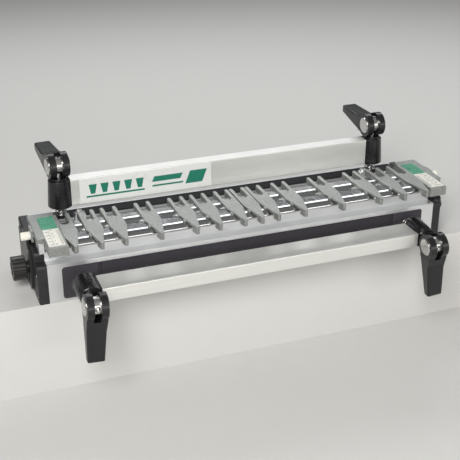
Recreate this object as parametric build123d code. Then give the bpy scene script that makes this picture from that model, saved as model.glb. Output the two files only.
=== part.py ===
from build123d import *
import math
import os

# Dovetail jig for boards up to 18 in wide, in millimetres.
# X runs along the jig, Y from the clamping front (low) to the back (high), Z is up.
# The origin is the centre of the body's underside.

# Body: a stepped, hollow aluminium extrusion between two end plates.
BODY_LENGTH = 552.0
BODY_DEPTH = 133.0
BODY_HEIGHT = 66.0
FACE_HEIGHT = 54.0
LEDGE_DEPTH = 15.5
WALL = 4.0
FRONT_WALL = 6.0
TOP_WALL = 12.0
PLATE_THICKNESS = 13.0
PORT_RADIUS = 4.5
PLATE_SCREW_RADIUS = 2.0

# Bench fixing holes in the floor of the body.
BENCH_SPACING_X = 400.0
BENCH_SPACING_Y = 60.0
BENCH_HOLE_RADIUS = 4.25

# Clamp bars, clamp rods and cams.
ROD_X = 233.5
ROD_RADIUS = 4.0
ROD_HOLE_RADIUS = 4.08
BAR_HALF_LENGTH = 219.7
BAR_THICKNESS = 19.05
BAR_WIDTH = 38.1
BAR_WALL = 2.2
FRONT_ROD_Z = 30.5
FRONT_BAR_GAP = 18.3
REAR_ROD_DEPTH = 115.2
REAR_BAR_Z = 81.8
BOSS_WIDE_RADIUS = 16.75
BOSS_NARROW_RADIUS = 14.2
PIN_DISTANCE = 19.7
PIN_RADIUS = 11.6
PIN_LENGTH = 30.0
PIN_HOLE_RADIUS = 11.66
HEAD_RADIUS = 16.8
HEAD_WIDTH = 26.5
LEVER_REACH = 76.0
LEVER_TIP_WIDTH = 22.0
LEVER_SLOT = 8.8
FRONT_SPLAY = 3.75
REAR_LEFT_TURN = 4.5
FRONT_ROD_DEPTH = 18.0
REAR_ROD_LOW = 44.0
SPRING_RADIUS = 7.1
SPRING_WIRE = 0.7
SPRING_TURNS = 9

# Grip pads and strips.
PAD_HALF_LENGTH = 258.0
PAD_SPLIT = 209.5
PAD_SPLIT_GAP = 5.0
PAD_BOTTOM = 3.6
PAD_TOP = 48.2
PAD_CORNER = 4.0
PAD_RECESS = 2.4
PAD_THICKNESS = 3.0
STRIP_BACKING = 0.8

# Finger assembly: two bars between scale blocks, with sliding guide fingers.
FINGER_TOP = 91.5
FINGER_THICKNESS = 9.8
FINGER_FRONT = -33.6
FINGER_REAR = 66.9
FINGER_WIDTH = 21.8
FINGER_SHOULDER = 8.0
FINGER_TIP_HALF_WIDTH = 2.6
PRONG_HALF_WIDTH = 2.55
NOTCH_BOTTOM = 33.0
SLIDING_FINGERS = (-211.2, -181.0, -135.1, -88.5, -57.6, -23.3, 0.1, 23.1, 61.5, 116.9, 172.4, 209.7)
END_FINGER_X = 243.5
FINGER_BAR_TOP = 88.4
FINGER_BAR_BOTTOM = 81.8
FINGER_BAR_ROUND = 10.0
FRONT_FINGER_BAR = (-13.7, 11.8)
REAR_FINGER_BAR = (24.0, 44.0)
BLOCK_INNER = 251.7
BLOCK_OUTER = 276.2
FLANGE_OUTER = 285.2
BLOCK_FRONT = -27.4
BLOCK_REAR = 76.0
BLOCK_BOTTOM = 78.6

# Support brackets at both ends.
ARM_INNER = 276.3
ARM_OUTER = 283.4
ARM_BOTTOM = 70.0
ARM_TOP = 85.1
LEG_THICKNESS = 3.2
BRACKET_UP = 20.0
BRACKET_DOWN = 3.5
KNOB_DEPTH = 50.0
KNOB_Z = 31.5
KNOB_RADIUS = 16.0
KNOB_LENGTH = 17.5
STUD_RADIUS = 4.0

# General clearances.
FIT = 0.06
GAP = 0.1

FRONT = -BODY_DEPTH / 2
HALF_BODY = BODY_LENGTH / 2
PLATE_OUTER = HALF_BODY + PLATE_THICKNESS
FINGER_BOTTOM = FINGER_TOP - FINGER_THICKNESS
PRONG_X = FINGER_WIDTH / 2 - PRONG_HALF_WIDTH
FRONT_BAR_Y = FRONT - FRONT_BAR_GAP
REAR_ROD_Y = FRONT + REAR_ROD_DEPTH


# Helpers

def back(depth):
    """Y of a point at a depth behind the front face."""
    return FRONT + depth


def block(x, y, z):
    """Box between a low and a high value on each axis."""
    size = (x[1] - x[0], y[1] - y[0], z[1] - z[0])
    return Pos((x[0] + x[1]) / 2, (y[0] + y[1]) / 2, (z[0] + z[1]) / 2) * Box(*size)


def round_bar(axis, at, radius, span):
    """Cylinder along X, Y or Z, at the other two coordinates, between two ends."""
    solid = Cylinder(radius, span[1] - span[0])
    middle = (span[0] + span[1]) / 2
    if axis == "X":
        return Pos(middle, at[0], at[1]) * Rot(Y=90) * solid
    if axis == "Y":
        return Pos(at[0], middle, at[1]) * Rot(X=90) * solid
    return Pos(at[0], at[1], middle) * solid


def hexagon_bar(axis, at, flats, span):
    """Hexagonal prism along Y or Z, between two ends."""
    solid = extrude(RegularPolygon(flats / 2, 6, major_radius=False), span[1] - span[0])
    if axis == "Y":
        return Pos(at[0], span[0], at[1]) * Rot(X=-90) * solid
    return Pos(at[0], at[1], span[0]) * solid


def along_x(sketch, x):
    """Prism of a Y-Z sketch between two X values."""
    return extrude(Plane.YZ.offset(x[0]) * sketch, x[1] - x[0])


def front_panel(sketch, y):
    """Prism of an X-Z sketch between two Y values."""
    return extrude(Plane.XZ.offset(-y[0]) * sketch, -(y[1] - y[0]))


def outline(*points):
    """Filled polygon through points, kept where its points are."""
    return make_face(Polyline(*points, close=True))


def other_end(shape):
    """Copy of a left-end shape at the right end."""
    return mirror(shape, Plane.YZ)


def bevel(shape, axis, level, width):
    """Chamfer every edge lying in the plane at one level of an axis."""
    def lies_there(edge):
        box = edge.bounding_box()
        return abs(tuple(box.min)[axis] - level) < 0.01 and abs(tuple(box.max)[axis] - level) < 0.01

    return chamfer(shape.edges().filter_by(lies_there), width)


def save(name, *shapes):
    """Write one named node, made of one or more separate solids."""
    solids = [solid for shape in shapes for solid in shape.solids()]
    node = solids[0] if len(solids) == 1 else Compound(children=solids)
    node.label = name
    export_step(node, os.path.join("parts", name + ".step"))


# Body and end plates

def stepped_outline():
    """Y-Z outer profile shared by the body and the end plates."""
    return outline((FRONT, 0), (-FRONT, 0), (-FRONT, BODY_HEIGHT), (back(LEDGE_DEPTH), BODY_HEIGHT),
                   (back(LEDGE_DEPTH), FACE_HEIGHT), (FRONT, FACE_HEIGHT))


GROOVE_FRONT = 95.4
GROOVE_REAR = 100.6
GROOVE_NECK = 4.5
GROOVE_BOTTOM = 58.0
GROOVE_WING = 2.6
GRIP_FRONT = 104.6
GRIP_REAR = 129.0
GRIP_RECESS = 2.0
PLATE_SCREWS = ((10.0, 7.0), (10.0, 37.0), (125.5, 8.0), (125.5, 44.0))
NUT_ROOM_RADIUS = 8.5
NUT_ROOM_DEPTH = 20.0
WEB_FRONT = 56.0
WEB_REAR = 60.0


def body_profile():
    """Hollow section with the grip recess, the T-groove and four screw ports."""
    cavity_top = BODY_HEIGHT - TOP_WALL
    ledge_back = back(LEDGE_DEPTH + WALL)
    front_room = outline((back(FRONT_WALL), WALL), (back(WEB_FRONT), WALL),
                         (back(WEB_FRONT), BODY_HEIGHT - WALL), (ledge_back, BODY_HEIGHT - WALL),
                         (ledge_back, FACE_HEIGHT - WALL), (back(FRONT_WALL), FACE_HEIGHT - WALL))
    rear_room = outline((back(WEB_REAR), WALL), (-FRONT - WALL, WALL),
                        (-FRONT - WALL, cavity_top), (back(WEB_REAR), cavity_top))
    profile = stepped_outline() - front_room - rear_room
    grip_floor = BODY_HEIGHT - GRIP_RECESS
    profile -= outline((back(GRIP_FRONT), grip_floor), (back(GRIP_REAR), grip_floor),
                       (back(GRIP_REAR), BODY_HEIGHT + 1), (back(GRIP_FRONT), BODY_HEIGHT + 1))
    neck_bottom = BODY_HEIGHT - GROOVE_NECK
    profile -= outline((back(GROOVE_FRONT), neck_bottom - 1), (back(GROOVE_REAR), neck_bottom - 1),
                       (back(GROOVE_REAR), BODY_HEIGHT + 1), (back(GROOVE_FRONT), BODY_HEIGHT + 1))
    wing_front = back(GROOVE_FRONT - GROOVE_WING)
    wing_rear = back(GROOVE_REAR + GROOVE_WING)
    profile -= outline((wing_front, GROOVE_BOTTOM), (wing_rear, GROOVE_BOTTOM),
                       (wing_rear, neck_bottom), (wing_front, neck_bottom))
    for depth, height in PLATE_SCREWS:
        profile += Pos(back(depth), height) * Circle(PORT_RADIUS)
    for depth, height in PLATE_SCREWS:
        profile -= Pos(back(depth), height) * Circle(PLATE_SCREW_RADIUS + FIT)
    return profile


def pad_frame(half_length, inset):
    """Rounded X-Z rectangle of the front grip area, a little smaller when inset."""
    middle = (PAD_BOTTOM + PAD_TOP) / 2
    height = PAD_TOP - PAD_BOTTOM - 2 * inset
    return Pos(0, middle) * RectangleRounded(2 * (half_length - inset), height, PAD_CORNER - inset)


def body_extrusion():
    body = along_x(body_profile(), (-HALF_BODY, HALF_BODY))
    body -= front_panel(pad_frame(PAD_HALF_LENGTH, 0), (FRONT - 1, FRONT + PAD_RECESS))
    for side in (-1, 1):
        x = side * ROD_X
        body -= round_bar("Y", (x, FRONT_ROD_Z), ROD_HOLE_RADIUS, (FRONT, back(FRONT_WALL + 1)))
        body -= round_bar("Z", (x, REAR_ROD_Y), ROD_HOLE_RADIUS, (BODY_HEIGHT - TOP_WALL - 1, BODY_HEIGHT))
        body -= round_bar("Y", (x, FRONT_ROD_Z), NUT_ROOM_RADIUS, (back(FRONT_WALL), back(NUT_ROOM_DEPTH)))
        body -= round_bar("Z", (x, REAR_ROD_Y), NUT_ROOM_RADIUS, (REAR_ROD_LOW - 2, BODY_HEIGHT - TOP_WALL))
        for end in (-1, 1):
            y = end * BENCH_SPACING_Y / 2
            body -= round_bar("Z", (side * BENCH_SPACING_X / 2, y), BENCH_HOLE_RADIUS, (-1, WALL + 1))
    return body


COUNTERBORE_DEPTH = 2.4
SCREW_HEAD_RADIUS = 4.0
PLATE_CORNER = 5.0


def end_plate_left():
    """Stepped plate with soft front corners and counterbored screw holes."""
    plate = along_x(stepped_outline(), (-PLATE_OUTER, -HALF_BODY))
    outer_corners = ((FRONT, FACE_HEIGHT), (back(LEDGE_DEPTH), BODY_HEIGHT))

    def is_outer(edge):
        middle = edge.center()
        return any(math.dist((middle.Y, middle.Z), corner) < 0.1 for corner in outer_corners)

    plate = fillet(plate.edges().filter_by(Axis.X).filter_by(is_outer), PLATE_CORNER)
    plate = bevel(plate, 0, -PLATE_OUTER, 1.2)
    head_seat = -PLATE_OUTER + COUNTERBORE_DEPTH
    for depth, height in PLATE_SCREWS:
        at = (back(depth), height)
        plate -= round_bar("X", at, PLATE_SCREW_RADIUS + FIT, (-PLATE_OUTER - 1, -HALF_BODY + 1))
        plate -= round_bar("X", at, SCREW_HEAD_RADIUS + GAP, (-PLATE_OUTER - 1, head_seat))
    at = (back(KNOB_DEPTH), KNOB_Z)
    plate -= round_bar("X", at, STUD_RADIUS + FIT, (-PLATE_OUTER - 1, -HALF_BODY + 1))
    return plate


def machine_screw_x(at, head_face, head_height, length, radius, head_radius):
    """Socket screw along X with its head outwards on the left."""
    seat = head_face + head_height
    screw = round_bar("X", at, head_radius, (head_face, seat))
    screw = bevel(screw, 0, head_face, 0.5)
    screw += round_bar("X", at, radius, (seat, seat + length))
    hexagon = Plane.YZ.offset(head_face) * Pos(*at) * RegularPolygon(radius * 0.62, 6)
    return screw - extrude(hexagon, head_height * 0.6)


def end_plate_screws():
    screws = []
    for depth, height in PLATE_SCREWS:
        screw = machine_screw_x((back(depth), height), -PLATE_OUTER + 0.3, COUNTERBORE_DEPTH - 0.35, 24,
                                PLATE_SCREW_RADIUS, SCREW_HEAD_RADIUS)
        screws += [screw, other_end(screw)]
    return screws


# Grip pads, grip strips and side stops

def front_grip_strip():
    """Strip between the end pads, its thin backing filling the floor of both splits."""
    half = PAD_SPLIT - PAD_SPLIT_GAP / 2
    backing = PAD_SPLIT + PAD_SPLIT_GAP / 2 - GAP
    y = (FRONT + PAD_RECESS - PAD_THICKNESS, FRONT + PAD_RECESS)
    z = (PAD_BOTTOM + GAP, PAD_TOP - GAP)
    strip = bevel(block((-half, half), y, z), 1, y[0], 0.4)
    return strip + block((-backing, backing), (y[1] - STRIP_BACKING, y[1]), z)


def front_pad_left():
    """End pad around the clamp rod, with rounded outer corners."""
    y = (FRONT + PAD_RECESS - PAD_THICKNESS, FRONT + PAD_RECESS)
    pad = front_panel(pad_frame(PAD_HALF_LENGTH, GAP), y)
    pad &= block((-300, -PAD_SPLIT - PAD_SPLIT_GAP / 2), (FRONT - 10, FRONT + 10), (0, BODY_HEIGHT))
    pad = bevel(pad, 1, y[0], 0.4)
    return pad - round_bar("Y", (-ROD_X, FRONT_ROD_Z), ROD_RADIUS + 0.2, (FRONT - 5, FRONT + 5))


GRIP_TOP = 66.6
STOP_INNER = 205.0
STOP_OUTER = 219.5
STOP_FRONT = 88.5
STOP_REAR = 101.0
STOP_TOP = 76.0


def rear_grip_strip():
    base = BODY_HEIGHT - GRIP_RECESS
    y = (back(GRIP_FRONT + GAP), back(GRIP_REAR - GAP))
    strip = block((-HALF_BODY + 4, HALF_BODY - 4), y, (base, GRIP_TOP))
    for side in (-1, 1):
        strip -= round_bar("Z", (side * ROD_X, REAR_ROD_Y), ROD_RADIUS + 0.3, (base - 1, GRIP_TOP + 1))
    return strip


def side_stop_left():
    """Stop block keyed in the T-groove, its clamping screw and its T-nut."""
    x = (-STOP_OUTER, -STOP_INNER)
    base = BODY_HEIGHT + GAP
    middle = ((x[0] + x[1]) / 2, back((GROOVE_FRONT + GROOVE_REAR) / 2))
    stop = block(x, (back(STOP_FRONT), back(STOP_REAR)), (base, STOP_TOP))
    stop = bevel(stop, 2, STOP_TOP, 1.2)
    stop += block(x, (back(GROOVE_FRONT + GAP), back(GROOVE_REAR - GAP)), (BODY_HEIGHT - 3, base + 0.5))
    stop -= round_bar("Z", middle, 2.05, (BODY_HEIGHT - 5, STOP_TOP + 1))
    nut_z = (GROOVE_BOTTOM + 0.2, BODY_HEIGHT - GROOVE_NECK - 0.2)
    nut_y = (back(GROOVE_FRONT - GROOVE_WING + 0.2), back(GROOVE_REAR + GROOVE_WING - 0.2))
    nut = block((middle[0] - 5, middle[0] + 5), nut_y, nut_z) - round_bar("Z", middle, 2.05, (50, 70))
    screw = round_bar("Z", middle, 2.0, (GROOVE_BOTTOM + 0.4, STOP_TOP))
    screw += bevel(round_bar("Z", middle, 3.6, (STOP_TOP, STOP_TOP + 2.6)), 2, STOP_TOP + 2.6, 0.5)
    screw -= Pos(middle[0], middle[1], STOP_TOP + 1.3) * extrude(RegularPolygon(1.6, 6), 2)
    return [stop, nut, screw]


# Clamp bars

FRONT_CAM_END = FRONT_BAR_Y - BAR_WIDTH
REAR_CAM_END = REAR_BAR_Z + BAR_WIDTH
BAR_CORNER = 1.3
TENON_LENGTH = 16.0
COLLAR_RADIUS = 11.0
COLLAR_HEIGHT = 2.4
SPRING_POCKET_RADIUS = 8.8
SPRING_POCKET_DEPTH = 22.0
ROD_PAST_PIN = 6.0
FRONT_PIN_Y = FRONT_CAM_END - PIN_DISTANCE
REAR_PIN_Z = REAR_CAM_END + PIN_DISTANCE
NUT_FLATS = 13.0
NUT_HEIGHT = 6.5


def bar_section(less, corner):
    """Y-Z rectangle of the clamp bar, smaller by a total amount both ways."""
    return Pos(0, BAR_WIDTH / 2) * RectangleRounded(BAR_THICKNESS - less, BAR_WIDTH - less, corner)


def clamp_bar():
    """Rectangular tube along X, its wide side along Z, with its low narrow side at Z = 0."""
    tube = bar_section(0, BAR_CORNER) - bar_section(2 * BAR_WALL, 0.6)
    return along_x(tube, (-BAR_HALF_LENGTH, BAR_HALF_LENGTH))


def clamp_end_left():
    """Tapered boss, thrust collar and tenon for the left end of an upright clamp bar."""
    boss = Pos(-ROD_X, 0, BAR_WIDTH / 2) * Cone(BOSS_WIDE_RADIUS, BOSS_NARROW_RADIUS, BAR_WIDTH)
    boss = bevel(boss, 2, BAR_WIDTH, 1.0)
    boss = bevel(boss, 2, 0, 0.8)
    boss += along_x(bar_section(0, BAR_CORNER), (-ROD_X, -BAR_HALF_LENGTH))
    boss &= block((-300, -BAR_HALF_LENGTH - 0.02), (-40, 40), (-1, 60))
    collar = round_bar("Z", (-ROD_X, 0), COLLAR_RADIUS, (BAR_WIDTH - 0.5, BAR_WIDTH + COLLAR_HEIGHT))
    boss += bevel(collar, 2, BAR_WIDTH + COLLAR_HEIGHT, 0.4)
    tenon = bar_section(2 * BAR_WALL + 0.1, 0.8)
    boss += along_x(tenon, (-BAR_HALF_LENGTH - 0.5, -BAR_HALF_LENGTH + TENON_LENGTH))
    boss -= round_bar("Z", (-ROD_X, 0), ROD_HOLE_RADIUS, (-1, BAR_WIDTH + COLLAR_HEIGHT + 1))
    return boss - round_bar("Z", (-ROD_X, 0), SPRING_POCKET_RADIUS, (-1, SPRING_POCKET_DEPTH))


def to_front(shape):
    """Carry an upright clamp piece to the front clamp: its Z becomes the jig's -Y."""
    return Pos(0, FRONT_BAR_Y, FRONT_ROD_Z) * Rot(X=90) * shape


def to_rear(shape):
    """Carry an upright clamp piece to the rear clamp."""
    return Pos(0, REAR_ROD_Y, REAR_BAR_Z) * shape


def front_rod(x):
    tip = FRONT_PIN_Y - ROD_PAST_PIN
    return bevel(round_bar("Y", (x, FRONT_ROD_Z), ROD_RADIUS, (tip, back(FRONT_ROD_DEPTH))), 1, tip, 0.8)


def rear_rod(x):
    tip = REAR_PIN_Z + ROD_PAST_PIN
    return bevel(round_bar("Z", (x, REAR_ROD_Y), ROD_RADIUS, (REAR_ROD_LOW, tip)), 2, tip, 0.8)


def rod_nuts():
    """Hexagon nuts inside the body that hold the four clamp rods."""
    nuts = []
    for side in (-1, 1):
        x = side * ROD_X
        y = (back(FRONT_WALL) + 0.02, back(FRONT_WALL) + NUT_HEIGHT)
        nut = hexagon_bar("Y", (x, FRONT_ROD_Z), NUT_FLATS, y)
        nuts.append(nut - round_bar("Y", (x, FRONT_ROD_Z), ROD_RADIUS + FIT, (y[0] - 1, y[1] + 1)))
        top = BODY_HEIGHT - TOP_WALL - 0.02
        nut = hexagon_bar("Z", (x, REAR_ROD_Y), NUT_FLATS, (top - NUT_HEIGHT, top))
        nuts.append(nut - round_bar("Z", (x, REAR_ROD_Y), ROD_RADIUS + FIT, (top - NUT_HEIGHT - 1, top + 1)))
    return nuts


def spring(length):
    """Compression spring standing on Z = 0, its ends inside the length."""
    rise = length - 2 * SPRING_WIRE - 0.2
    path = Helix(pitch=rise / SPRING_TURNS, height=rise, radius=SPRING_RADIUS)
    start = Plane(origin=path @ 0, z_dir=path % 0)
    return Pos(0, 0, SPRING_WIRE + 0.1) * sweep(start * Circle(SPRING_WIRE), path=path)


# Cam levers. In their own frame the pin is at the origin along X, the clamp boss is towards +Y
# and the locked lever hangs towards -Z.

HEAD_OFFSET = (0.4, -1.4)
ROOT = -4.0
ROOT_FACE = -14.0
LEVER_FACE = -7.4
LEVER_BACK = 13.1
TIP_FACE = -7.2
TIP_BACK = 3.7
SLOT_REACH = 18.7


def lever_profile():
    """Y-Z side view: an eccentric round head that runs into a tapering handle."""
    head = Pos(*HEAD_OFFSET) * Circle(HEAD_RADIUS)
    handle = outline((ROOT_FACE, ROOT), (LEVER_BACK, ROOT), (LEVER_BACK, -20), (TIP_BACK, -LEVER_REACH),
                     (TIP_FACE, -LEVER_REACH), (LEVER_FACE, -28))
    return head + handle


def lever_width():
    """X-Z front view: full width at the head, narrowing to the tip."""
    half = HEAD_WIDTH / 2
    tip = LEVER_TIP_WIDTH / 2
    return outline((-half, 25), (half, 25), (half, -20), (tip, -LEVER_REACH), (-tip, -LEVER_REACH),
                   (-half, -20))


def rod_slot():
    """Room for the clamp rod at every lever angle from locked to open."""
    half = LEVER_SLOT / 2
    room = block((-half, half), (-30, 30), (-ROD_RADIUS - 1.2, 30))
    return room + block((-half, half), (-30, ROD_RADIUS + 1.2), (-SLOT_REACH, 0))


def cam_lever():
    lever = extrude(Plane.YZ * lever_profile(), HEAD_WIDTH / 2, both=True)
    lever &= extrude(Plane.XZ * lever_width(), 40, both=True)
    long_edges = [e for e in lever.edges() if e.bounding_box().size.Z > 30 and e.center().Z < -30]
    lever = fillet(long_edges, 2.2)
    tip_edges = [e for e in lever.edges() if abs(e.center().Z + LEVER_REACH) < 0.01]
    lever = fillet(tip_edges, 1.5)
    lever -= rod_slot()
    lever -= round_bar("X", (0, 0), PIN_HOLE_RADIUS, (-30, 30))
    return lever


def cam_pin():
    """Steel barrel across the lever head, cross-drilled for the clamp rod."""
    half = PIN_LENGTH / 2
    pin = round_bar("X", (0, 0), PIN_RADIUS, (-half, half))
    pin = bevel(bevel(pin, 0, half, 1.0), 0, -half, 1.0)
    return pin - round_bar("Y", (0, 0), ROD_HOLE_RADIUS, (-20, 20))


def place_front_cam(shape, side):
    """Cam parts on a front rod, each lever turned a little outwards about its rod."""
    return Pos(side * ROD_X, FRONT_PIN_Y, FRONT_ROD_Z) * Rot(Y=-side * FRONT_SPLAY) * shape


def place_rear_cam(shape, side):
    """Cam parts on a rear rod, the levers pointing back and the left one turned outwards."""
    turn = REAR_LEFT_TURN if side < 0 else 0
    return Pos(side * ROD_X, REAR_ROD_Y, REAR_PIN_Z) * Rot(Z=turn) * Rot(X=90) * Rot(Z=180) * shape


# Finger assembly

NOTCH_RADIUS = PRONG_X - PRONG_HALF_WIDTH
NOSE_WEB_END = -23.0
TONGUE_LENGTH = 1.4
TONGUE_Z = (83.2, 85.6)
LUG_X = -7.9
LUG_DEPTH = -4.5
LUG_RADIUS = 2.9
LUG_TOP = 90.4
SET_SCREW_RADIUS = 1.7
SET_SCREW_TOP = 90.9


def finger_plan():
    """X-Y plan of a guide finger: a two-pronged fork behind a dovetail-angled nose."""
    half = FINGER_WIDTH / 2
    prong_end = back(FINGER_REAR) - PRONG_HALF_WIDTH
    nose = back(FINGER_FRONT) + FINGER_TIP_HALF_WIDTH
    shoulder = back(FINGER_SHOULDER)
    plan = outline((-half, shoulder), (half, shoulder), (half, prong_end), (-half, prong_end))
    plan += outline((-half, shoulder), (-FINGER_TIP_HALF_WIDTH, nose), (FINGER_TIP_HALF_WIDTH, nose),
                    (half, shoulder))
    plan += Pos(0, nose) * Circle(FINGER_TIP_HALF_WIDTH)
    for side in (-1, 1):
        plan += Pos(side * PRONG_X, prong_end) * Circle(PRONG_HALF_WIDTH)
    notch_y = back(NOTCH_BOTTOM) + NOTCH_RADIUS
    notch_end = back(FINGER_REAR) + 5
    plan -= outline((-NOTCH_RADIUS, notch_y), (NOTCH_RADIUS, notch_y), (NOTCH_RADIUS, notch_end),
                    (-NOTCH_RADIUS, notch_end))
    return plan - Pos(0, notch_y) * Circle(NOTCH_RADIUS)


def finger_bar_profile(span, play):
    """Rounded nose, flat top and a grooved back, made larger by the play on every side."""
    front = back(span[0]) - play
    rear = back(span[1]) + play
    low = FINGER_BAR_BOTTOM - play
    high = FINGER_BAR_TOP + play
    crest = front + FINGER_BAR_ROUND
    nose = Pos(crest, low) * Ellipse(FINGER_BAR_ROUND, high - low)
    nose &= outline((front - 1, low), (crest, low), (crest, high + 1), (front - 1, high + 1))
    flat = outline((crest, low), (rear, low), (rear, high), (crest, high))
    groove = outline((rear - TONGUE_LENGTH, TONGUE_Z[0] + play), (rear + 1, TONGUE_Z[0] + play),
                     (rear + 1, TONGUE_Z[1] - play), (rear - TONGUE_LENGTH, TONGUE_Z[1] - play))
    return nose + flat - groove


def finger_casting():
    """Finger at X = 0, arched over the bars, with tongues in the backs of the bars."""
    casting = extrude(Plane.XY.offset(FINGER_BOTTOM) * finger_plan(), FINGER_THICKNESS)
    casting = bevel(casting, 2, FINGER_TOP, 0.5)
    half = FINGER_WIDTH
    for span in (FRONT_FINGER_BAR, REAR_FINGER_BAR):
        room = finger_bar_profile(span, FIT)
        rear = back(span[1]) + FIT
        room += outline((back(span[0]), FINGER_BOTTOM - 1), (rear, FINGER_BOTTOM - 1),
                        (rear, FINGER_BAR_BOTTOM), (back(span[0]), FINGER_BAR_BOTTOM))
        casting -= along_x(room, (-half, half))
    nose_room = (back(NOSE_WEB_END), back(FRONT_FINGER_BAR[0] + FINGER_BAR_ROUND))
    return casting - block((-half, half), nose_room, (FINGER_BOTTOM - 1, FINGER_BAR_TOP + FIT))


def guide_finger():
    """Sliding finger at X = 0: the casting with a lug, and the set screw that locks it on a bar."""
    at = (LUG_X, back(LUG_DEPTH))
    casting = finger_casting() + round_bar("Z", at, LUG_RADIUS, (FINGER_BAR_TOP + FIT, LUG_TOP))
    casting -= round_bar("Z", at, SET_SCREW_RADIUS + FIT, (FINGER_BAR_TOP - 1, FINGER_TOP + 1))
    screw = round_bar("Z", at, SET_SCREW_RADIUS, (FINGER_BAR_TOP + 0.02, SET_SCREW_TOP))
    return [casting, screw - Pos(at[0], at[1], SET_SCREW_TOP - 1.2) * extrude(RegularPolygon(1.0, 6), 2)]


FINGER_BAR_HALF = BLOCK_INNER + 16
BAR_SCREW_X = BLOCK_INNER + 9
BAR_SCREW_RADIUS = 2.0
BAR_SCREW_HEAD_RADIUS = 3.5
BAR_SCREW_HEAD_HEIGHT = 2.4
BAR_SCREW_TOP = 90.0


def bar_screw_y(span):
    """Y of a bar's end screws, behind its rounded nose."""
    return back((span[0] + FINGER_BAR_ROUND + span[1]) / 2 - 1)


def finger_bar(span):
    bar = along_x(finger_bar_profile(span, 0), (-FINGER_BAR_HALF, FINGER_BAR_HALF))
    for side in (-1, 1):
        at = (side * BAR_SCREW_X, bar_screw_y(span))
        bar -= round_bar("Z", at, BAR_SCREW_RADIUS + FIT, (60, 100))
    return bar


def finger_bar_screws():
    """Screws from below that tie both finger bars into the scale blocks."""
    screws = []
    seat = BLOCK_BOTTOM - 0.02
    low = seat - BAR_SCREW_HEAD_HEIGHT
    for span in (FRONT_FINGER_BAR, REAR_FINGER_BAR):
        for side in (-1, 1):
            at = (side * BAR_SCREW_X, bar_screw_y(span))
            screw = round_bar("Z", at, BAR_SCREW_RADIUS, (seat - 1, BAR_SCREW_TOP))
            screw += round_bar("Z", at, BAR_SCREW_HEAD_RADIUS, (low, seat))
            screws.append(screw - Pos(at[0], at[1], low) * extrude(RegularPolygon(1.7, 6), 1.4))
    return screws


FLANGE_FRONT = 2.0
LIP_OUTER = 287.8
LIP_SPAN = (28.0, 47.0)
LIP_BOTTOM = 75.5
LABEL_X = (254.6, 274.6)
LABEL_SPAN = (-24.0, 63.0)
LABEL_RECESS = 0.3
LABEL_THICKNESS = 0.4
THUMB_DEPTH = 37.5
THUMB_Z = 81.0
THUMB_SHANK_RADIUS = 2.5
THUMB_RADIUS = 5.3
THUMB_LENGTH = 12.0


def scale_block_left():
    """Block that carries the finger bars, with a flange over the arm and a lip for the thumbscrew."""
    block_y = (back(BLOCK_FRONT), back(BLOCK_REAR))
    body = block((-BLOCK_OUTER, -BLOCK_INNER), block_y, (BLOCK_BOTTOM, FINGER_TOP))
    body += block((-FLANGE_OUTER, -BLOCK_OUTER), (back(FLANGE_FRONT), back(BLOCK_REAR)),
                  (ARM_TOP + GAP, FINGER_TOP))
    body = bevel(body, 2, FINGER_TOP, 0.6)
    lip_y = (back(LIP_SPAN[0]), back(LIP_SPAN[1]))
    body += block((-LIP_OUTER, -FLANGE_OUTER), lip_y, (LIP_BOTTOM, FINGER_TOP - 0.6))
    label_y = (back(LABEL_SPAN[0]) - GAP, back(LABEL_SPAN[1]) + GAP)
    label_x = (-LABEL_X[1] - GAP, -LABEL_X[0] + GAP)
    body -= block(label_x, label_y, (FINGER_TOP - LABEL_RECESS, FINGER_TOP + 1))
    body -= block((-FLANGE_OUTER - 1, -FLANGE_OUTER + 1.2), (back(50), back(BLOCK_REAR) + 1),
                  (FINGER_TOP - 4.2, FINGER_TOP - 2.2))
    for span in (FRONT_FINGER_BAR, REAR_FINGER_BAR):
        body -= along_x(finger_bar_profile(span, FIT), (-FINGER_BAR_HALF - 0.5, 0))
        at = (-BAR_SCREW_X, bar_screw_y(span))
        body -= round_bar("Z", at, BAR_SCREW_RADIUS + FIT, (70, BAR_SCREW_TOP + GAP))
    at = (back(THUMB_DEPTH), THUMB_Z)
    return body - round_bar("X", at, THUMB_SHANK_RADIUS + FIT, (-LIP_OUTER - 1, -FLANGE_OUTER + 1))


def scale_label_left():
    y = (back(LABEL_SPAN[0]), back(LABEL_SPAN[1]))
    z = (FINGER_TOP - LABEL_RECESS, FINGER_TOP - LABEL_RECESS + LABEL_THICKNESS)
    return block((-LABEL_X[1], -LABEL_X[0]), y, z)


def end_finger_left():
    """Outermost finger, cut off where the scale block begins."""
    kept = block((-BLOCK_INNER + 0.02, 0), (-200, 200), (0, 200))
    return Pos(-END_FINGER_X, 0, 0) * finger_casting() & kept


def thumbscrew_left():
    """Knurled thumbscrew that locks the scale block to the arm."""
    at = (back(THUMB_DEPTH), THUMB_Z)
    inner = -LIP_OUTER - GAP
    head = round_bar("X", at, THUMB_RADIUS, (inner - THUMB_LENGTH, inner))
    head = bevel(head, 0, inner - THUMB_LENGTH, 0.8)
    for index in range(16):
        angle = math.radians(index * 360 / 16)
        flute = (at[0] + THUMB_RADIUS * math.cos(angle), at[1] + THUMB_RADIUS * math.sin(angle))
        head -= round_bar("X", flute, 0.45, (inner - THUMB_LENGTH - 1, inner - 2))
    return head + round_bar("X", at, THUMB_SHANK_RADIUS, (inner - 0.5, -ARM_OUTER - FIT))


# Support brackets

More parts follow.
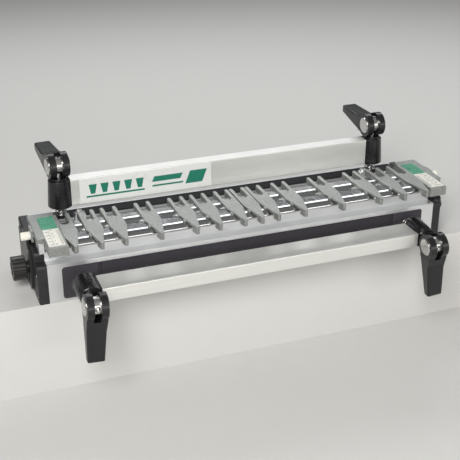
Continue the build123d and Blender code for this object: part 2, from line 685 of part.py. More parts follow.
LEG_FRONT = 34.0
LEG_REAR = 112.0
LEG_LOW = 4.0
LEG_HIGH = 62.0
RISER_FRONT = 46.0
RISER_REAR = 76.0
ARM_REAR = 78.0
ARM_SCREWS = (52.0, 70.0)
ARM_SCREW_Z = 72.6
ARM_SCREW_RADIUS = 1.5
ARM_SCREW_HEAD_RADIUS = 2.2
SPACER_BOTTOM = 70.1
SPACER_TOP = 75.2


def bracket_arm_left():
    """Square bar above the end plate that the scale block slides on."""
    arm = block((-ARM_OUTER, -ARM_INNER), (back(FLANGE_FRONT - 0.5), back(ARM_REAR)), (ARM_BOTTOM, ARM_TOP))
    arm = bevel(arm, 1, back(FLANGE_FRONT - 0.5), 0.6)
    for depth in ARM_SCREWS:
        at = (back(depth), ARM_SCREW_Z)
        arm -= round_bar("X", at, ARM_SCREW_RADIUS + FIT, (-ARM_OUTER - 1, -ARM_INNER - 1))
    return arm


def support_bracket_left():
    """Slotted leg on the end plate, with a riser and a spacer that carry the arm."""
    outer = -PLATE_OUTER - GAP - LEG_THICKNESS
    inner = -PLATE_OUTER - GAP
    leg = block((outer, inner), (back(LEG_FRONT), back(LEG_REAR)), (LEG_LOW, LEG_HIGH))
    upright = [e for e in leg.edges().filter_by(Axis.X) if e.center().Z < LEG_LOW + 1]
    leg = fillet(upright, 8.0)
    riser_y = (back(RISER_FRONT), back(RISER_REAR))
    leg += block((outer, inner), riser_y, (LEG_HIGH - 1, SPACER_TOP))
    leg += block((inner - 0.5, -ARM_OUTER - 0.02), riser_y, (SPACER_BOTTOM, SPACER_TOP))
    slot_low = KNOB_Z - BRACKET_UP - 0.5
    slot_high = KNOB_Z + BRACKET_DOWN + 0.5
    y = back(KNOB_DEPTH)
    slot_radius = STUD_RADIUS + GAP
    slot = block((outer - 1, inner + 1), (y - slot_radius, y + slot_radius), (slot_low, slot_high))
    for z in (slot_low, slot_high):
        slot += round_bar("X", (y, z), slot_radius, (outer - 1, inner + 1))
    leg -= slot
    for depth in ARM_SCREWS:
        at = (back(depth), ARM_SCREW_Z)
        leg -= round_bar("X", at, ARM_SCREW_RADIUS + FIT, (outer - 1, -ARM_OUTER + 1))
        leg -= round_bar("X", at, ARM_SCREW_HEAD_RADIUS + GAP, (outer - 1, outer + 2.2))
    return leg


def bracket_screws():
    """Screws that hold the arms on the brackets, two at each end."""
    outer = -PLATE_OUTER - GAP - LEG_THICKNESS
    left = []
    for depth in ARM_SCREWS:
        at = (back(depth), ARM_SCREW_Z)
        left.append(machine_screw_x(at, outer + 0.1, 2.05, 12.5, ARM_SCREW_RADIUS, ARM_SCREW_HEAD_RADIUS))
    return left


KNOB_NECK_RADIUS = 8.0
KNOB_NECK_LENGTH = 3.5
KNOB_FLUTES = 8
KNOB_FLUTE_RADIUS = 4.2
KNOB_FLUTE_OFFSET = 18.6


def bracket_knob_left():
    """Fluted knob on a neck, bored for its stud."""
    at = (back(KNOB_DEPTH), KNOB_Z)
    seat = -PLATE_OUTER - GAP - LEG_THICKNESS - GAP
    face = seat - KNOB_NECK_LENGTH
    section = Circle(KNOB_RADIUS)
    for index in range(KNOB_FLUTES):
        angle = math.radians((index + 0.5) * 360 / KNOB_FLUTES)
        section -= Pos(KNOB_FLUTE_OFFSET * math.cos(angle), KNOB_FLUTE_OFFSET * math.sin(angle)) * Circle(
            KNOB_FLUTE_RADIUS)
    knob = extrude(Plane.YZ.offset(face - KNOB_LENGTH) * Pos(*at) * section, KNOB_LENGTH)
    knob = bevel(knob, 0, face - KNOB_LENGTH, 1.0)
    knob = bevel(knob, 0, face, 0.8)
    knob += round_bar("X", at, KNOB_NECK_RADIUS, (face - 0.5, seat))
    knob -= round_bar("X", at, 9.5, (face - KNOB_LENGTH - 1, face - KNOB_LENGTH + 1.2))
    return knob - round_bar("X", at, STUD_RADIUS, (face - 10, seat + 1))


def knob_stud_left():
    """Threaded stud that the knob is moulded over."""
    at = (back(KNOB_DEPTH), KNOB_Z)
    seat = -PLATE_OUTER - GAP - LEG_THICKNESS - GAP
    return round_bar("X", at, STUD_RADIUS, (seat - KNOB_NECK_LENGTH - 10, -HALF_BODY - 1))


# Name plate on the rear bar

BADGE_X = (-208.0, -22.0)
BADGE_Z = (83.2, 118.6)
BADGE_THICKNESS = 0.3


def bar_badge():
    face = REAR_ROD_Y - BAR_THICKNESS / 2
    return block(BADGE_X, (face - BADGE_THICKNESS, face - 0.01), BADGE_Z)


# Assembly

def write_ends(name, left):
    """Write a left piece and its mirrored right piece."""
    shapes = left if isinstance(left, list) else [left]
    save(name + "_left", *shapes)
    save(name + "_right", *[other_end(shape) for shape in shapes])


def write_body():
    save("body_extrusion", body_extrusion())
    write_ends("end_plate", end_plate_left())
    save("end_plate_screws", *end_plate_screws())
    save("front_grip_strip", front_grip_strip())
    write_ends("front_pad", front_pad_left())
    save("rear_grip_strip", rear_grip_strip())
    write_ends("side_stop", side_stop_left())
    save("front_clamp_rods", front_rod(-ROD_X), front_rod(ROD_X))
    save("rear_clamp_rods", rear_rod(-ROD_X), rear_rod(ROD_X))
    save("rod_nuts", *rod_nuts())


def write_clamps():
    front_spring_end = FRONT_BAR_Y - SPRING_POCKET_DEPTH
    pad_face = FRONT + PAD_RECESS - PAD_THICKNESS
    front_spring = Pos(0, pad_face, FRONT_ROD_Z) * Rot(X=90) * spring(pad_face - front_spring_end)
    rear_spring = Pos(0, REAR_ROD_Y, GRIP_TOP) * spring(REAR_BAR_Z + SPRING_POCKET_DEPTH - GRIP_TOP)
    save("front_clamp_springs", *[Pos(side * ROD_X, 0, 0) * front_spring for side in (-1, 1)])
    save("rear_clamp_springs", *[Pos(side * ROD_X, 0, 0) * rear_spring for side in (-1, 1)])
    save("front_clamp_bar", to_front(clamp_bar()))
    save("rear_clamp_bar", to_rear(clamp_bar()))
    write_ends("front_clamp_end", to_front(clamp_end_left()))
    write_ends("rear_clamp_end", to_rear(clamp_end_left()))
    save("rear_bar_badge", bar_badge())
    for name, side in (("left", -1), ("right", 1)):
        save("front_cam_pin_" + name, place_front_cam(cam_pin(), side))
        save("front_cam_lever_" + name, place_front_cam(cam_lever(), side))
        save("rear_cam_pin_" + name, place_rear_cam(cam_pin(), side))
        save("rear_cam_lever_" + name, place_rear_cam(cam_lever(), side))


def write_fingers():
    save("finger_bar_front", finger_bar(FRONT_FINGER_BAR))
    save("finger_bar_rear", finger_bar(REAR_FINGER_BAR))
    save("finger_bar_screws", *finger_bar_screws())
    write_ends("scale_block", scale_block_left())
    write_ends("scale_label", scale_label_left())
    write_ends("thumbscrew", thumbscrew_left())
    write_ends("end_finger", end_finger_left())
    finger = guide_finger()
    for number, x in enumerate(SLIDING_FINGERS, 1):
        save(f"guide_finger_{number:02d}", *[Pos(x, 0, 0) * shape for shape in finger])


def write_brackets():
    write_ends("support_bracket", [support_bracket_left()])
    write_ends("bracket_arm", [bracket_arm_left()] + bracket_screws())
    write_ends("bracket_knob", [bracket_knob_left(), knob_stud_left()])


os.makedirs("parts", exist_ok=True)
write_body()
write_clamps()
write_fingers()
write_brackets()
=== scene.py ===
import fnmatch
import math

import bmesh
import bpy
from mathutils import Matrix, Vector


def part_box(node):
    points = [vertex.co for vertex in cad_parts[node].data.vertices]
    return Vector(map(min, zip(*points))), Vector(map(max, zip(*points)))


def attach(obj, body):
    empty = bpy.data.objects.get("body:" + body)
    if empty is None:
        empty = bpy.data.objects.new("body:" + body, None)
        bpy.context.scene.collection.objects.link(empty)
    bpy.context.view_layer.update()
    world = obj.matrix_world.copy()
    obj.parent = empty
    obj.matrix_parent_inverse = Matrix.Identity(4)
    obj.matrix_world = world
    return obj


# Looks of a dovetail jig: materials for every CAD piece, printed marks, stage, lights and camera.
# Everything is in metres, in the CAD frame: +X along the jig, +Y to the back, +Z up.

MM = 0.001

# Camera, at the angle the jig was seen from.
CAMERA_AZIMUTH = -20.7
CAMERA_ELEVATION = 25.4
CAMERA_ROLL = 0.2
CAMERA_DISTANCE = 1.2629
CAMERA_TARGET = (-0.0295, -0.0665, 0.0726)
CAMERA_LENS = 75.15
CAMERA_SHIFT = (-0.0059, -0.015)

# Colours, linear RGB.
ALUMINIUM = (0.80, 0.81, 0.82)
CLAMP_ALUMINIUM = (0.88, 0.88, 0.85)
CAST_GREY = (0.35, 0.36, 0.345)
STEEL = (0.66, 0.655, 0.64)
CHROME = (0.88, 0.88, 0.89)
CHARCOAL = (0.0075, 0.0075, 0.0085)
KNOB_CHARCOAL = (0.011, 0.010, 0.0095)
PLATE_CHARCOAL = (0.016, 0.016, 0.0175)
BRACKET_BLACK = (0.020, 0.020, 0.021)
GRIP_GREY = (0.034, 0.031, 0.038)
REAR_GRIP_BLACK = (0.008, 0.008, 0.010)
CREAM = (0.80, 0.79, 0.72)
LABEL_GREEN = (0.055, 0.30, 0.18)
DEEP_GREEN = (0.006, 0.155, 0.100)
BADGE_WHITE = (0.68, 0.685, 0.675)
INK = (0.035, 0.036, 0.04)
PALE_STAGE = (0.60, 0.595, 0.58)


def scaled(color, factor, offset=0.0):
    """Colour made lighter or darker, kept at or below 1."""
    return tuple(min(1.0, c * factor + offset) for c in color)


class Shader:
    """One node material, built up from small helpers around a Principled BSDF."""

    def __init__(self, name):
        self.material = bpy.data.materials.new(name)
        self.material.use_nodes = True
        self.nodes = self.material.node_tree.nodes
        self.links = self.material.node_tree.links
        self.surface = self.nodes["Principled BSDF"]
        self.place = self.node("ShaderNodeTexCoord").outputs["Object"]
        self.normal = None

    def node(self, kind, **settings):
        made = self.nodes.new(kind)
        for key, value in settings.items():
            setattr(made, key, value)
        return made

    def feed(self, socket, value):
        """Link a node output to a socket, or set the socket to a plain value."""
        if isinstance(value, bpy.types.NodeSocket):
            self.links.new(value, socket)
        elif isinstance(value, (tuple, list)) and len(value) == 3 and len(socket.default_value) == 4:
            socket.default_value = (*value, 1.0)
        else:
            socket.default_value = value

    def set(self, name, value):
        self.feed(self.surface.inputs[name], value)

    def stretched(self, scale, source=None):
        """Coordinates scaled by a different amount along each axis."""
        mapping = self.node("ShaderNodeMapping")
        self.feed(mapping.inputs["Vector"], source or self.place)
        mapping.inputs["Scale"].default_value = scale
        return mapping.outputs["Vector"]

    def noise(self, scale, detail=3.0, rough=0.55, vector=None):
        made = self.node("ShaderNodeTexNoise")
        self.feed(made.inputs["Vector"], vector or self.place)
        made.inputs["Scale"].default_value = scale
        made.inputs["Detail"].default_value = detail
        made.inputs["Roughness"].default_value = rough
        return made.outputs["Fac"]

    def cells(self, scale):
        made = self.node("ShaderNodeTexVoronoi")
        self.feed(made.inputs["Vector"], self.place)
        made.inputs["Scale"].default_value = scale
        return made.outputs["Distance"]

    def fit(self, value, low, high, to_low=0.0, to_high=1.0):
        """Map a value from one range to another, clamped."""
        made = self.node("ShaderNodeMapRange")
        self.feed(made.inputs["Value"], value)
        made.inputs["From Min"].default_value = low
        made.inputs["From Max"].default_value = high
        made.inputs["To Min"].default_value = to_low
        made.inputs["To Max"].default_value = to_high
        return made.outputs["Result"]

    def math(self, operation, first, second=0.0):
        made = self.node("ShaderNodeMath", operation=operation)
        self.feed(made.inputs[0], first)
        self.feed(made.inputs[1], second)
        return made.outputs["Value"]

    def mix(self, share, first, second):
        """Blend two colours. A Mix node's colour sockets are inputs 6 and 7 and output 2."""
        made = self.node("ShaderNodeMix", data_type="RGBA")
        self.feed(made.inputs["Factor"], share)
        self.feed(made.inputs[6], first)
        self.feed(made.inputs[7], second)
        return made.outputs[2]

    def bump(self, height, distance, strength=1.0):
        """Add one layer of bump over the layers before it."""
        made = self.node("ShaderNodeBump")
        self.feed(made.inputs["Height"], height)
        made.inputs["Distance"].default_value = distance
        made.inputs["Strength"].default_value = strength
        if self.normal is not None:
            self.feed(made.inputs["Normal"], self.normal)
        self.normal = made.outputs["Normal"]
        self.set("Normal", self.normal)

    def round_edges(self, radius):
        """Soften edges in the shading, and return a mask that is 1 on them."""
        bevel = self.node("ShaderNodeBevel", samples=6)
        bevel.inputs["Radius"].default_value = radius
        self.normal = bevel.outputs["Normal"]
        self.set("Normal", self.normal)
        flat = self.node("ShaderNodeNewGeometry").outputs["Normal"]
        dot = self.node("ShaderNodeVectorMath", operation="DOT_PRODUCT")
        self.feed(dot.inputs[0], bevel.outputs["Normal"])
        self.feed(dot.inputs[1], flat)
        return self.fit(dot.outputs["Value"], 0.995, 0.86)


def brushed_metal(name, color, grain, rough=0.30, spread=0.10, edge=0.0004, metallic=1.0):
    """Satin metal with fine grain, uneven sheen, faint handling marks and brighter edges."""
    shader = Shader(name)
    worn = shader.round_edges(edge)
    lines = shader.noise(1.0, 4.0, 0.7, shader.stretched(grain))
    clouds = shader.noise(18.0, 4.0)
    smears = shader.noise(1.0, 3.0, 0.6, shader.stretched((60, 25, 40)))
    tone = shader.mix(shader.fit(lines, 0.3, 0.7), scaled(color, 0.90), color)
    tone = shader.mix(shader.fit(clouds, 0.35, 0.75, 0.0, 0.30), tone, scaled(color, 0.88))
    tone = shader.mix(shader.math("MULTIPLY", worn, 0.6), tone, scaled(color, 1.12))
    shader.set("Base Color", tone)
    shader.set("Metallic", metallic)
    roughness = shader.fit(lines, 0.25, 0.75, rough - spread / 2, rough + spread / 2)
    roughness = shader.math("ADD", roughness, shader.fit(smears, 0.5, 0.8, 0.0, 0.09))
    shader.set("Roughness", shader.math("SUBTRACT", roughness, shader.math("MULTIPLY", worn, 0.08)))
    shader.bump(lines, 0.00002, 0.25)
    shader.bump(clouds, 0.0006, 0.04)
    return shader.material


def turned_steel(name, color, rough=0.22):
    """Bright steel with faint turning rings around the piece's own X axis."""
    shader = Shader(name)
    worn = shader.round_edges(0.0005)
    own = shader.node("ShaderNodeTexCoord").outputs["Generated"]
    split = shader.node("ShaderNodeSeparateXYZ")
    shader.feed(split.inputs[0], own)
    across = shader.math("POWER", shader.math("SUBTRACT", split.outputs["Y"], 0.5), 2.0)
    up = shader.math("POWER", shader.math("SUBTRACT", split.outputs["Z"], 0.5), 2.0)
    radius = shader.math("SQRT", shader.math("ADD", across, up))
    rings = shader.math("SINE", shader.math("MULTIPLY", radius, 260.0))
    grime = shader.noise(220.0, 4.0)
    tone = shader.mix(shader.fit(grime, 0.4, 0.75, 0.0, 0.30), color, scaled(color, 0.80))
    shader.set("Base Color", shader.mix(worn, tone, scaled(color, 1.2)))
    shader.set("Metallic", 1.0)
    shader.set("Roughness", shader.fit(grime, 0.3, 0.7, rough - 0.05, rough + 0.10))
    shader.bump(rings, 0.00004, 0.35)
    return shader.material


def cast_metal(name, color):
    """Grey die-cast alloy: blasted grain, small pits, darker clouds and polished edges."""
    shader = Shader(name)
    worn = shader.round_edges(0.0007)
    grain = shader.noise(1500.0, 3.0, 0.7)
    speckle = shader.noise(520.0, 4.0, 0.75)
    clouds = shader.noise(45.0, 3.0)
    pits = shader.cells(700.0)
    tone = shader.mix(shader.fit(speckle, 0.38, 0.66), scaled(color, 0.66), scaled(color, 1.24))
    tone = shader.mix(shader.fit(clouds, 0.4, 0.7, 0.0, 0.35), tone, scaled(color, 0.80))
    tone = shader.mix(shader.math("MULTIPLY", worn, 0.5), tone, scaled(color, 1.9))
    shader.set("Base Color", tone)
    shader.set("Metallic", 0.82)
    roughness = shader.fit(speckle, 0.35, 0.7, 0.42, 0.60)
    shader.set("Roughness", shader.math("SUBTRACT", roughness, shader.math("MULTIPLY", worn, 0.14)))
    shader.bump(grain, 0.00008, 0.5)
    shader.bump(shader.fit(pits, 0.0, 0.25), 0.00005, 0.35)
    shader.bump(clouds, 0.0004, 0.10)
    return shader.material


def moulded_plastic(name, color, rough=0.34, edge=0.0008, coat=0.15):
    """Dark moulded plastic: fine spark texture, soft sheen, edges lightened partly as rubbed wear and partly
    as a painted highlight, and a little dust.
    """
    shader = Shader(name)
    worn = shader.round_edges(edge)
    texture = shader.noise(2600.0, 3.0, 0.65)
    handling = shader.noise(90.0, 4.0, 0.6)
    dust = shader.noise(70.0, 4.0)
    tone = shader.mix(shader.fit(dust, 0.45, 0.75, 0.0, 0.45), color, scaled(color, 1.5, 0.001))
    # Edges made lighter in colour: partly rubbed wear, partly a painted highlight along the edges.
    tone = shader.mix(shader.math("MULTIPLY", worn, 0.40), tone, scaled(color, 2.2, 0.010))
    shader.set("Base Color", tone)
    roughness = shader.fit(handling, 0.35, 0.7, rough - 0.03, rough + 0.05)
    shader.set("Roughness", shader.math("ADD", roughness, shader.math("MULTIPLY", worn, 0.08)))
    shader.set("Specular IOR Level", 0.42)
    shader.set("Coat Weight", coat)
    shader.set("Coat Roughness", 0.22)
    shader.bump(texture, 0.00003, 0.12)
    return shader.material


def grip_rubber(name, color, grit):
    """Matte rubber or grit sheet: coarse grain of the given size, pale rubbed spots, no shine."""
    shader = Shader(name)
    worn = shader.round_edges(0.0003)
    grain = shader.noise(1.0 / grit, 4.0, 0.75)
    lumps = shader.cells(0.7 / grit)
    rubbed = shader.noise(30.0, 4.0)
    tone = shader.mix(shader.fit(grain, 0.35, 0.68), scaled(color, 0.55), scaled(color, 1.6))
    tone = shader.mix(shader.fit(rubbed, 0.5, 0.8, 0.0, 0.35), tone, scaled(color, 1.6, 0.006))
    shader.set("Base Color", shader.mix(shader.math("MULTIPLY", worn, 0.4), tone, scaled(color, 2.2)))
    shader.set("Roughness", shader.fit(grain, 0.3, 0.7, 0.62, 0.86))
    shader.set("Specular IOR Level", 0.32)
    shader.bump(grain, grit * 0.30, 0.7)
    shader.bump(lumps, grit * 0.25, 0.5)
    return shader.material


def printed_film(name, color, second=None, split_y=0.0):
    """Glossy printed label. With a second colour, that colour covers it behind a Y value."""
    shader = Shader(name)
    worn = shader.round_edges(0.0002)
    specks = shader.noise(900.0, 3.0)
    handling = shader.noise(60.0, 4.0)
    tone = color
    if second:
        split = shader.node("ShaderNodeSeparateXYZ")
        shader.feed(split.inputs[0], shader.place)
        tone = shader.mix(shader.math("GREATER_THAN", split.outputs["Y"], split_y), color, second)
    tone = shader.mix(shader.fit(specks, 0.55, 0.75, 0.0, 0.16), tone, scaled(color, 0.6))
    tone = shader.mix(shader.math("MULTIPLY", worn, 0.35), tone, scaled(color, 1.1, 0.03))
    shader.set("Base Color", tone)
    shader.set("Roughness", shader.fit(handling, 0.35, 0.75, 0.24, 0.42))
    shader.set("Specular IOR Level", 0.5)
    shader.set("Coat Weight", 0.3)
    shader.set("Coat Roughness", 0.15)
    shader.bump(handling, 0.00025, 0.06)
    return shader.material


def pale_plastic(name, color):
    """Cream moulded plastic with soft light inside it and slight, patchy soiling."""
    shader = Shader(name)
    worn = shader.round_edges(0.0004)
    soil = shader.noise(260.0, 4.0)
    tone = shader.mix(shader.fit(soil, 0.5, 0.8, 0.0, 0.35), color, scaled(color, 0.62))
    shader.set("Base Color", shader.mix(shader.math("MULTIPLY", worn, 0.5), tone, scaled(color, 1.15)))
    shader.set("Roughness", shader.fit(soil, 0.3, 0.7, 0.34, 0.50))
    shader.set("Subsurface Weight", 0.15)
    shader.set("Subsurface Scale", 0.002)
    shader.bump(shader.noise(1800.0), 0.00004, 0.3)
    return shader.material


def ink(name, color):
    """Printed ink, a little uneven."""
    shader = Shader(name)
    cover = shader.noise(700.0, 3.0)
    tone = shader.mix(shader.fit(cover, 0.4, 0.8, 0.0, 0.3), color, scaled(color, 1.8, 0.01))
    shader.set("Base Color", tone)
    shader.set("Roughness", shader.fit(cover, 0.3, 0.7, 0.34, 0.48))
    return shader.material


def plain_stage(name, color):
    """Pale, matte paper for the floor."""
    shader = Shader(name)
    fibre = shader.noise(40.0, 5.0)
    shader.set("Base Color", shader.mix(shader.fit(fibre, 0.3, 0.7, 0.0, 0.4), color, scaled(color, 0.97)))
    shader.set("Roughness", 0.9)
    shader.set("Specular IOR Level", 0.1)
    return shader.material


# Grain directions: the noise is stretched most along the axis with the smallest scale.
ALONG_X = (14, 1500, 1500)
ALONG_Y = (1500, 14, 1500)
ALONG_Z = (1500, 1500, 14)


def dress(nodes, material, *names):
    """Give each named CAD node one material. A trailing * stands for every node that starts so."""
    for name in names:
        for node in fnmatch.filter(nodes, name):
            slots = nodes[node].data.materials
            slots.clear()
            slots.append(material)


def dress_metal(nodes):
    extruded = brushed_metal("extruded_aluminium", ALUMINIUM, ALONG_X, 0.38, metallic=0.8)
    clamp = brushed_metal("clamp_aluminium", CLAMP_ALUMINIUM, ALONG_X, 0.40, 0.06, metallic=0.8)
    slide = brushed_metal("finger_bar_aluminium", scaled(ALUMINIUM, 0.6), ALONG_X, 0.20, 0.06)
    milled = brushed_metal("milled_aluminium", scaled(ALUMINIUM, 0.94), ALONG_Z, 0.36)
    arm = brushed_metal("arm_aluminium", ALUMINIUM, ALONG_Y, 0.26)
    rod = brushed_metal("rod_steel", STEEL, (900, 900, 900), 0.20, 0.08)
    dress(nodes, extruded, "body_extrusion")
    dress(nodes, milled, "side_stop_*")
    dress(nodes, clamp, "front_clamp_bar", "rear_clamp_bar")
    dress(nodes, slide, "finger_bar_front", "finger_bar_rear")
    dress(nodes, arm, "bracket_arm_*")
    dress(nodes, rod, "front_clamp_rods", "rear_clamp_rods", "rod_nuts")
    dress(nodes, rod, "front_clamp_springs", "rear_clamp_springs")
    dress(nodes, turned_steel("pin_steel", STEEL), "front_cam_pin_*", "rear_cam_pin_*")
    dress(nodes, turned_steel("bright_screw", CHROME, 0.14), "end_plate_screws", "finger_bar_screws")
    dress(nodes, cast_metal("cast_grey", CAST_GREY), "guide_finger_*", "end_finger_*", "scale_block_*")


def dress_plastic(nodes):
    dress(nodes, moulded_plastic("boss_plastic", CHARCOAL, 0.26), "front_clamp_end_*", "rear_clamp_end_*")
    dress(nodes, moulded_plastic("lever_plastic", CHARCOAL, 0.34), "front_cam_lever_*", "rear_cam_lever_*")
    dress(nodes, moulded_plastic("knob_plastic", KNOB_CHARCOAL, 0.32), "bracket_knob_*")
    plate = moulded_plastic("plate_plastic", PLATE_CHARCOAL, 0.42, 0.0012, 0.0)
    dress(nodes, plate, "end_plate_left", "end_plate_right")
    paint = moulded_plastic("bracket_paint", BRACKET_BLACK, 0.40, 0.0006, 0.1)
    dress(nodes, paint, "support_bracket_*")
    dress(nodes, pale_plastic("thumb_plastic", CREAM), "thumbscrew_*")
    dress(nodes, grip_rubber("strip_grit", scaled(GRIP_GREY, 0.9), 0.0011), "front_grip_strip")
    dress(nodes, grip_rubber("pad_rubber", scaled(GRIP_GREY, 1.2), 0.0005), "front_pad_*")
    dress(nodes, grip_rubber("rear_rubber", REAR_GRIP_BLACK, 0.0007), "rear_grip_strip")
    low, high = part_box("scale_label_left")
    split_y = low.y + 0.56 * (high.y - low.y)
    dress(nodes, printed_film("scale_print", CREAM, LABEL_GREEN, split_y), "scale_label_*")
    dress(nodes, printed_film("badge_print", BADGE_WHITE), "rear_bar_badge")


# Printed marks, as thin raised ink

INK_THICKNESS = 0.06 * MM


def slab_mesh(name, outlines, to_place):
    """Thin prisms from flat outlines; to_place turns (u, v, w) into a point of the frame."""
    mesh = bmesh.new()
    for points in outlines:
        lower = [mesh.verts.new(to_place(u, v, 0.0)) for u, v in points]
        upper = [mesh.verts.new(to_place(u, v, INK_THICKNESS)) for u, v in points]
        mesh.faces.new(lower)
        mesh.faces.new(upper)
        count = len(points)
        for i in range(count):
            j = (i + 1) % count
            mesh.faces.new((lower[i], lower[j], upper[j], upper[i]))
    bmesh.ops.recalc_face_normals(mesh, faces=mesh.faces)
    data = bpy.data.meshes.new(name)
    mesh.to_mesh(data)
    mesh.free()
    made = bpy.data.objects.new(name, data)
    bpy.context.scene.collection.objects.link(made)
    return made


def add_mark(name, outlines, to_place, material, body):
    made = slab_mesh(name, outlines, to_place)
    made.data.materials.append(material)
    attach(made, body)


def rectangle(u, v, width, height):
    return [(u, v), (u + width, v), (u + width, v + height), (u, v + height)]


def badge_marks():
    """Name plate print: a row of interlocking dovetails above a rule, and a solid slanted block."""
    low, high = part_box("rear_bar_badge")
    height = high.z - low.z
    pitch = height * 0.46
    tail = pitch * 0.30

    def on_badge(u, v, w):
        return low.x + u, low.y - w, low.z + v

    marks = []
    foot = height * 0.36
    head = height * 0.74
    for index in range(5):
        middle = height * 0.50 + index * pitch
        marks.append([(middle - tail * 0.6, foot), (middle + tail * 0.6, foot),
                      (middle + tail * 1.15, head), (middle - tail * 1.15, head)])
    rule_end = height * 0.50 + 4.4 * pitch
    marks.append(rectangle(height * 0.24, height * 0.22, rule_end - height * 0.24, height * 0.07))
    start = rule_end + height * 0.30
    slant = height * 0.10
    marks.append([(start, height * 0.50), (start + height * 1.15, height * 0.50),
                  (start + height * 1.15 + slant, height * 0.72), (start + slant, height * 0.72)])
    block_start = start + height * 1.35
    block_end = start + height * 2.05
    marks.append([(block_start, height * 0.24), (block_end, height * 0.24),
                  (block_end + slant * 2, height * 0.76), (block_start + slant * 2, height * 0.76)])
    marks.append([(start, height * 0.30), (start + height * 1.25, height * 0.30),
                  (start + height * 1.25 + slant * 0.3, height * 0.37), (start + slant * 0.3, height * 0.37)])
    add_mark("badge_pattern", marks, on_badge, ink("green_ink", DEEP_GREEN), "rear_clamp")


def scale_marks(side, material):
    """Millimetre scale on a label: a long tick every 10 mm, a middle one every 5 and short ones between."""
    low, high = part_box("scale_label_" + side)
    inward = 1 if side == "left" else -1
    inner_edge = high.x if side == "left" else low.x

    def on_label(u, v, w):
        return inner_edge - inward * u, low.y + v, high.z + w

    ticks = []
    for step in range(3, 44):
        length = 5.2 if step % 10 == 0 else 3.8 if step % 5 == 0 else 2.2
        ticks.append(rectangle(1.2 * MM, step * MM, length * MM, 0.22 * MM))
    ticks.append(rectangle(1.0 * MM, 3.0 * MM, 0.22 * MM, 40.2 * MM))
    ticks.append(rectangle(12.6 * MM, 3.0 * MM, 0.3 * MM, 42.0 * MM))
    for step in range(0, 5):
        ticks.append(rectangle(13.6 * MM, (4.0 + 9.0 * step) * MM, 4.2 * MM, 1.0 * MM))
    add_mark("scale_ticks_" + side, ticks, on_label, material, "finger_frame")
    for value in range(0, 5):
        place = on_label(9.6 * MM, (3.5 + 10 * value) * MM, 0.0)
        add_digit(f"scale_digit_{side}_{value}", str(value), place, material)


def add_digit(name, text, place, material):
    """One flat digit on a scale."""
    curve = bpy.data.curves.new(name, "FONT")
    curve.body = text
    curve.size = 5.0 * MM
    curve.extrude = INK_THICKNESS / 2
    curve.align_x = "CENTER"
    made = bpy.data.objects.new(name, curve)
    bpy.context.scene.collection.objects.link(made)
    data = bpy.data.meshes.new_from_object(made)
    bpy.data.objects.remove(made)
    data.transform(Matrix.Translation(Vector(place) + Vector((0, 0, INK_THICKNESS / 2))))
    data.name = name
    solid = bpy.data.objects.new(name, data)
    bpy.context.scene.collection.objects.link(solid)
    data.materials.clear()
    data.materials.append(material)
    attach(solid, "finger_frame")


# Stage, lights and camera

DROP = 0.13
FLOOR_REACH = 4.0
FLOOR_HALF_WIDTH = 5.0


def build_stage():
    """Pale floor with one step: the jig stands at the edge, so that its front levers can hang."""
    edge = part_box("body_extrusion")[0].y
    profile = [(-FLOOR_REACH, -DROP), (edge, -DROP), (edge, 0.0), (FLOOR_REACH, 0.0)]
    mesh = bmesh.new()
    rows = [[mesh.verts.new((x, y, z)) for y, z in profile] for x in (-FLOOR_HALF_WIDTH, FLOOR_HALF_WIDTH)]
    for i in range(len(profile) - 1):
        mesh.faces.new((rows[0][i], rows[0][i + 1], rows[1][i + 1], rows[1][i]))
    bmesh.ops.recalc_face_normals(mesh, faces=mesh.faces)
    data = bpy.data.meshes.new("floor")
    mesh.to_mesh(data)
    mesh.free()
    floor = bpy.data.objects.new("floor", data)
    bpy.context.scene.collection.objects.link(floor)
    data.materials.append(plain_stage("pale_stage", PALE_STAGE))


def add_softbox(name, place, target, size, power, color=(1, 1, 1)):
    light = bpy.data.lights.new(name, "AREA")
    light.shape = "RECTANGLE"
    light.size = size[0]
    light.size_y = size[1]
    light.energy = power
    light.color = color
    made = bpy.data.objects.new(name, light)
    bpy.context.scene.collection.objects.link(made)
    made.location = place
    made.rotation_euler = (Vector(target) - Vector(place)).to_track_quat("-Z", "Y").to_euler()
    return made


def build_room():
    """Even grey room, paler in front of the jig than behind it."""
    world = bpy.data.worlds.new("room")
    bpy.context.scene.world = world
    world.use_nodes = True
    tree = world.node_tree
    back = tree.nodes["Background"]
    place = tree.nodes.new("ShaderNodeTexCoord")
    split = tree.nodes.new("ShaderNodeSeparateXYZ")
    ramp = tree.nodes.new("ShaderNodeValToRGB")
    tree.links.new(place.outputs["Generated"], split.inputs[0])
    tree.links.new(split.outputs["Y"], ramp.inputs["Fac"])
    ramp.color_ramp.elements[0].position = 0.0
    ramp.color_ramp.elements[0].color = (0.45, 0.45, 0.44, 1)
    ramp.color_ramp.elements[1].position = 0.75
    ramp.color_ramp.elements[1].color = (0.14, 0.145, 0.145, 1)
    tree.links.new(ramp.outputs["Color"], back.inputs["Color"])
    back.inputs["Strength"].default_value = 0.55


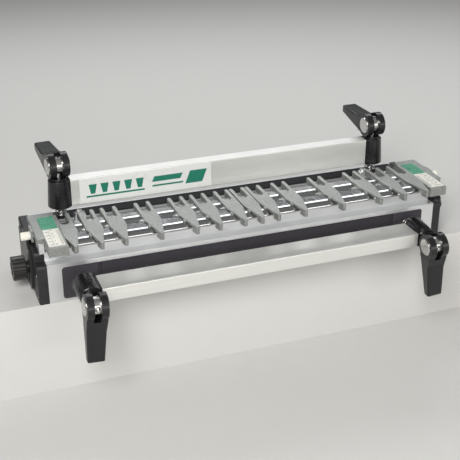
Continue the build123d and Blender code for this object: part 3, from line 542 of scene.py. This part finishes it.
def build_lights():
    """Soft studio light: bright from the front left, weaker from low in front, behind and the right."""
    add_softbox("key", (-0.85, -1.4, 1.25), (0, 0, 0.03), (0.9, 0.8), 36, (1.0, 0.985, 0.96))
    add_softbox("low_front", (0.55, -1.7, 0.35), (0, -0.05, 0.03), (1.4, 0.35), 8, (1.0, 0.99, 0.97))
    add_softbox("top", (0.2, 1.1, 1.1), (0, 0, 0.05), (1.9, 0.45), 12, (0.97, 0.985, 1.0))
    add_softbox("right_rim", (1.5, 0.1, 0.6), (0.1, 0, 0.06), (0.4, 0.9), 4, (0.96, 0.98, 1.0))


def build_camera():
    """Camera aimed at the target from an azimuth, an elevation and a distance, with a slight roll."""
    azimuth = math.radians(CAMERA_AZIMUTH)
    elevation = math.radians(CAMERA_ELEVATION)
    away = Vector((math.sin(azimuth) * math.cos(elevation), -math.cos(azimuth) * math.cos(elevation),
                   math.sin(elevation)))
    camera = bpy.data.objects.new("camera", bpy.data.cameras.new("camera"))
    bpy.context.scene.collection.objects.link(camera)
    camera.location = Vector(CAMERA_TARGET) + away * CAMERA_DISTANCE
    look = (-away).to_track_quat("-Z", "Y").to_matrix()
    camera.rotation_euler = (look @ Matrix.Rotation(math.radians(CAMERA_ROLL), 3, "Z")).to_euler()
    camera.data.lens = CAMERA_LENS
    camera.data.shift_x = CAMERA_SHIFT[0]
    camera.data.shift_y = CAMERA_SHIFT[1]
    bpy.context.scene.camera = camera


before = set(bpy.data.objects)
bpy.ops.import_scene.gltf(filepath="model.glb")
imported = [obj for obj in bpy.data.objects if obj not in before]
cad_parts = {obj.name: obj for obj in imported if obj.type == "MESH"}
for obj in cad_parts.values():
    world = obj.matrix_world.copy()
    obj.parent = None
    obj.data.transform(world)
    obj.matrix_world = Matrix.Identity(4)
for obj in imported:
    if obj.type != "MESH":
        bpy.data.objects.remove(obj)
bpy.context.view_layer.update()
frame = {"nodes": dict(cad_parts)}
dress_metal(frame["nodes"])
dress_plastic(frame["nodes"])
badge_marks()
scale_ink = ink("scale_ink", INK)
for end in ("left", "right"):
    scale_marks(end, scale_ink)
build_stage()
build_room()
build_lights()
build_camera()
bpy.context.scene.view_settings.view_transform = "Standard"
